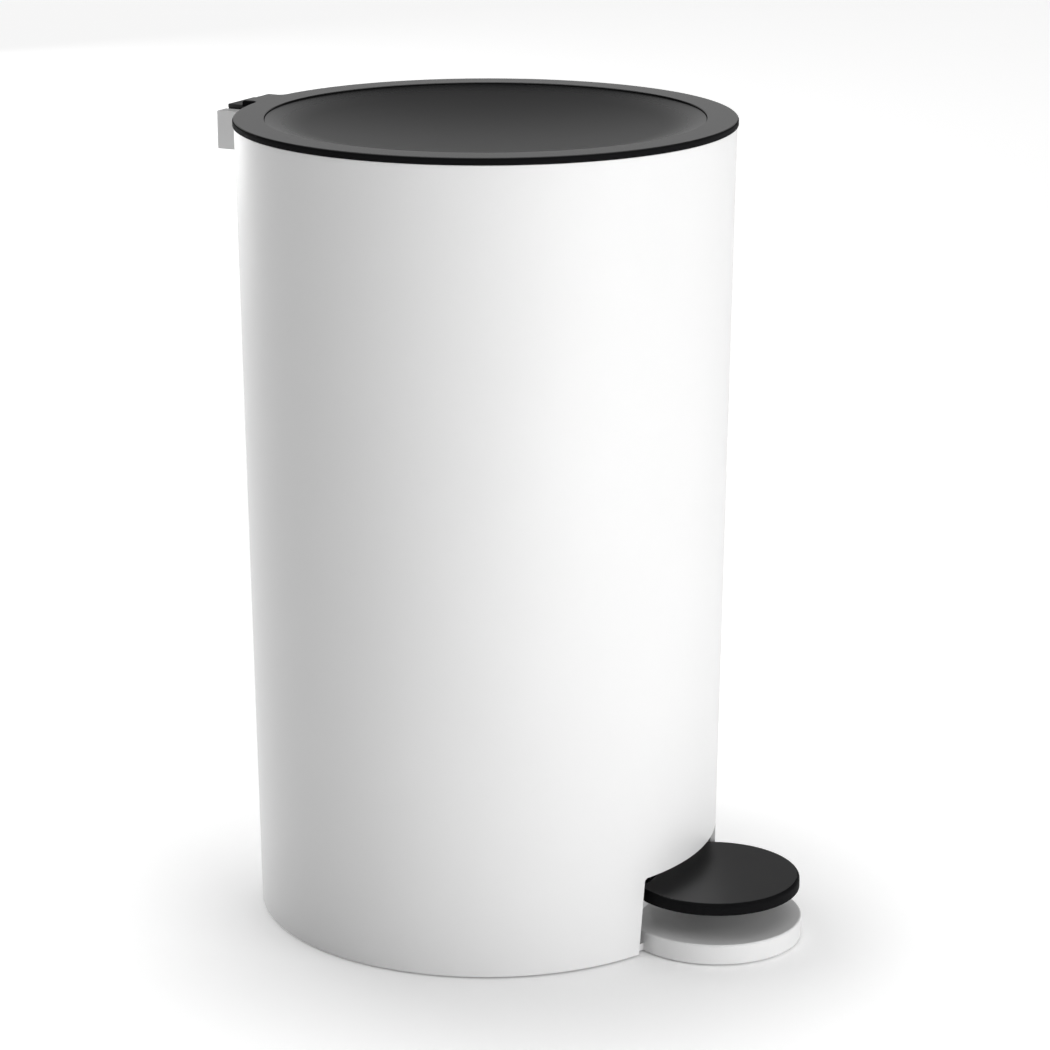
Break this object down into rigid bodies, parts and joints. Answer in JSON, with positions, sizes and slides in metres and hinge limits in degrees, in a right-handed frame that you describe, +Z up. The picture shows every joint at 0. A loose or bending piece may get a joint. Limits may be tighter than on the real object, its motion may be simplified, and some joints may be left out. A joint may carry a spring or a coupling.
{
  "type": "pedal trash can",
  "caption": "Round free-standing pedal bin: tapered white shell, dished charcoal lid on a rear hinge, round pedal over a front foot, lever and push rod inside, lift-out bucket.",
  "frame": {"origin": "centre of the rubber base ring on the floor, under the axis of the shell", "axes": "+Z up along the shell's axis, +X to the front with the pedal, +Y to the left of someone facing +X"},
  "size_m": [0.3139, 0.247, 0.405],
  "materials": {
    "white_plastic": "satin moulded white polypropylene",
    "charcoal_plastic": "fine-grained charcoal polypropylene",
    "grey_plastic": "plain moulded grey polypropylene",
    "zinc_steel": "zinc-plated mild steel",
    "rubber": "soft black rubber",
    "nylon": "natural nylon"
  },
  "bodies": {
    "bin": {"outer_body": "white_plastic", "hinge_bracket": "white_plastic", "hinge_screws": "zinc_steel", "hinge_pin": "zinc_steel", "rod_cover": "white_plastic", "base_plate": "white_plastic", "base_screws": "zinc_steel", "base_ring": "rubber", "foot_pad": "rubber", "pedal_axle": "zinc_steel", "axle_clips": "zinc_steel", "inner_bucket": "grey_plastic"},
    "lid": {"lid": "charcoal_plastic", "lid_hinge_arm": "charcoal_plastic", "lid_screws": "zinc_steel", "lid_buffers": "rubber"},
    "pedal": {"pedal_plate": "charcoal_plastic", "pedal_buffer": "rubber", "pedal_lever": "zinc_steel", "pedal_screws": "zinc_steel", "lever_bushes": "nylon"},
    "push_rod": {"push_rod": "zinc_steel", "rod_pins": "zinc_steel"}
  },
  "joints": [
    {"name": "lid_hinge", "type": "hinge", "parent": "bin", "child": "lid", "pos_m": [-0.1295, 0, 0.393], "axis": [0, -1, 0], "range_deg": [0, 72]},
    {"name": "pedal_hinge", "type": "hinge", "parent": "bin", "child": "pedal", "pos_m": [0.066, 0, 0.019], "axis": [0, 1, 0], "range_deg": [0, 7.84]},
    {"name": "rod_slide", "type": "slide", "parent": "bin", "child": "push_rod", "axis": [-0.0137, 0, 0.9999], "range_m": [0, 0.02391]}
  ],
  "couplings": [
    {"joint": "pedal_hinge", "follows": "lid_hinge", "ratio": 0.10883},
    {"joint": "rod_slide", "follows": "lid_hinge", "m_per_rad": 0.019019}
  ]
}
